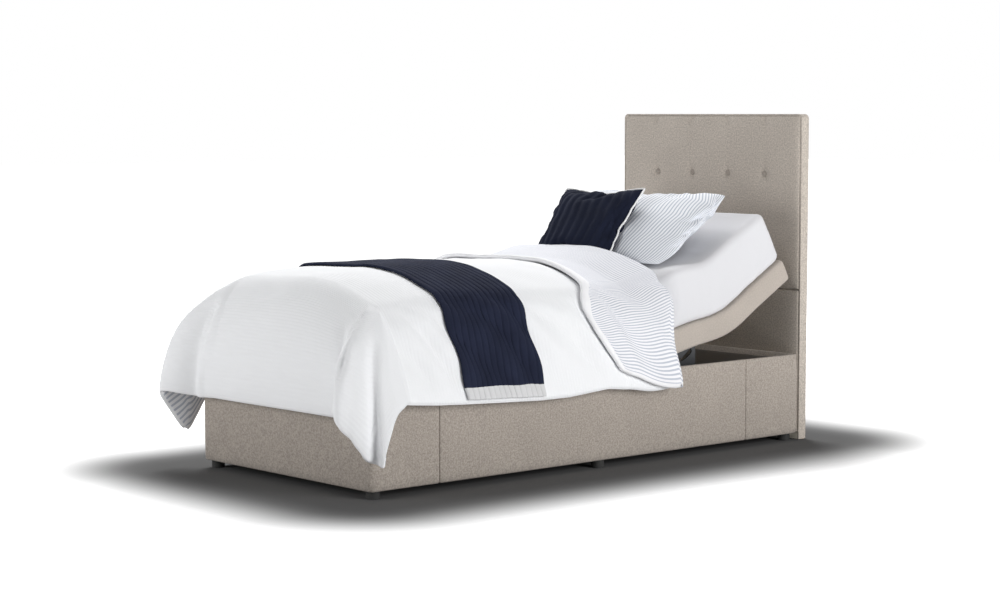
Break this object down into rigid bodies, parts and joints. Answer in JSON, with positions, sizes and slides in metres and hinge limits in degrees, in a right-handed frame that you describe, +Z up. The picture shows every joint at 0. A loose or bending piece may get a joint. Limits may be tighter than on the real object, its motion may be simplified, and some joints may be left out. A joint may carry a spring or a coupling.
{
  "type": "adjustable bed",
  "caption": "Single upholstered adjustable bed: fabric box and buttoned headboard, padded deck in hinged sections lifted by linear drives, mattress, duvet, throw, pillow and cushion.",
  "frame": {"origin": "centre of the bounding box at floor level, under the middle of the bed", "axes": "+X across the bed, +Y from the foot end to the headboard, +Z up"},
  "size_m": [1.1098, 2.1, 1.2],
  "materials": {
    "box_fabric": "matte",
    "headboard_fabric": "matte",
    "headboard_edge_fabric": "matte",
    "button_fabric": "matte",
    "deck_fabric": "matte",
    "calico": "matte",
    "back_lining": "matte",
    "timber": "matte",
    "plywood": "matte",
    "cover_laminate": "matte",
    "frame_paint": "satin",
    "zinc_fixings": "satin",
    "guide_steel": "satin",
    "drive_plastic": "matte",
    "motor_can": "satin",
    "drive_alloy": "satin",
    "rod_chrome": "polished",
    "nylon": "matte",
    "glide_rubber": "matte",
    "fitted_sheet": "matte",
    "duvet_cotton": "matte",
    "throw_cotton": "matte",
    "pillow_cotton": "matte",
    "cushion_cotton": "matte"
  },
  "bodies": {
    "base": {"foot_surround": "box_fabric", "head_surround": "box_fabric", "left_panel": "box_fabric", "right_panel": "box_fabric", "joining_blocks": "timber", "glides": "glide_rubber", "cover_board": "cover_laminate", "headboard_core": "timber", "headboard_upper_pad": "headboard_fabric", "headboard_lower_pad": "headboard_fabric", "headboard_border": "headboard_edge_fabric", "headboard_lining": "back_lining", "headboard_buttons": "button_fabric", "headboard_base_strip": "calico", "headboard_spacers": "glide_rubber", "headboard_bolts": "zinc_fixings", "frame_rails": "frame_paint", "cross_members": "frame_paint", "frame_bolts": "zinc_fixings", "seat_frame": "frame_paint", "seat_board": "plywood", "seat_pad": "deck_fabric", "seat_hinge_pins": "zinc_fixings", "guide_plates": "guide_steel", "calf_tracks": "glide_rubber", "control_box": "drive_plastic", "power_inlet": "drive_plastic", "drive_gearboxes": "drive_plastic", "drive_motors": "motor_can", "drive_tubes": "drive_alloy", "drive_pins": "zinc_fixings", "mattress_seat": "fitted_sheet", "mattress_fillers": "fitted_sheet", "duvet": "duvet_cotton"},
    "lumbar": {"lumbar_frame": "frame_paint", "lumbar_board": "plywood", "lumbar_pad": "deck_fabric", "lumbar_hinge_pins": "zinc_fixings", "mattress_lumbar": "fitted_sheet", "pillow": "pillow_cotton", "cushion": "cushion_cotton"},
    "upper_back": {"upper_frame": "frame_paint", "upper_board": "plywood", "upper_pad": "deck_fabric", "guide_studs": "nylon", "mattress_upper": "fitted_sheet"},
    "thigh": {"thigh_frame": "frame_paint", "thigh_board": "plywood", "thigh_pad": "deck_fabric", "thigh_hinge_pins": "zinc_fixings", "mattress_thigh": "fitted_sheet", "throw": "throw_cotton"},
    "calf": {"calf_frame": "frame_paint", "calf_board": "plywood", "calf_pad": "deck_fabric", "calf_skids": "nylon", "mattress_calf": "fitted_sheet"},
    "head_rod": {"head_drive_rod": "rod_chrome"},
    "foot_rod": {"foot_drive_rod": "rod_chrome"},
    "duvet_end": {"duvet_foot": "duvet_cotton"}
  },
  "joints": [
    {"name": "back_lift", "type": "hinge", "parent": "base", "child": "lumbar", "pos_m": [0, 0.19, 0.3675], "axis": [1, 0, 0], "range_deg": [-12, 12], "deforming": ["duvet", "mattress_fillers", "pillow", "cushion"]},
    {"name": "head_lift", "type": "hinge", "parent": "lumbar", "child": "upper_back", "pos_m": [0, 0.63408, 0.46189], "axis": [1, 0, 0], "range_deg": [-17.5, 17.5]},
    {"name": "head_drive_slide", "type": "slide", "parent": "base", "child": "head_rod", "axis": [0, 1, 0], "range_m": [-0.0314, 0.0314]},
    {"name": "knee_lift", "type": "hinge", "parent": "base", "child": "thigh", "pos_m": [0, -0.06, 0.3675], "axis": [-1, 0, 0], "range_deg": [0, 35], "deforming": ["throw"]},
    {"name": "calf_fold", "type": "hinge", "parent": "thigh", "child": "calf", "pos_m": [0, -0.38, 0.3675], "axis": [1, 0, 0], "range_deg": [0, 52.5]},
    {"name": "foot_drive_slide", "type": "slide", "parent": "base", "child": "foot_rod", "axis": [0, -1, 0], "range_m": [0, 0.0905]},
    {"name": "duvet_end_hang", "type": "hinge", "parent": "calf", "child": "duvet_end", "pos_m": [0, -1.03, 0.66], "axis": [-1, 0, 0], "range_deg": [0, 17.5]}
  ],
  "couplings": [
    {"joint": "head_lift", "follows": "back_lift", "ratio": 1.4583},
    {"joint": "head_drive_slide", "follows": "back_lift", "m_per_rad": 0.14891},
    {"joint": "calf_fold", "follows": "knee_lift", "ratio": 1.5},
    {"joint": "foot_drive_slide", "follows": "knee_lift", "m_per_rad": 0.14768},
    {"joint": "duvet_end_hang", "follows": "knee_lift", "ratio": 0.5}
  ]
}
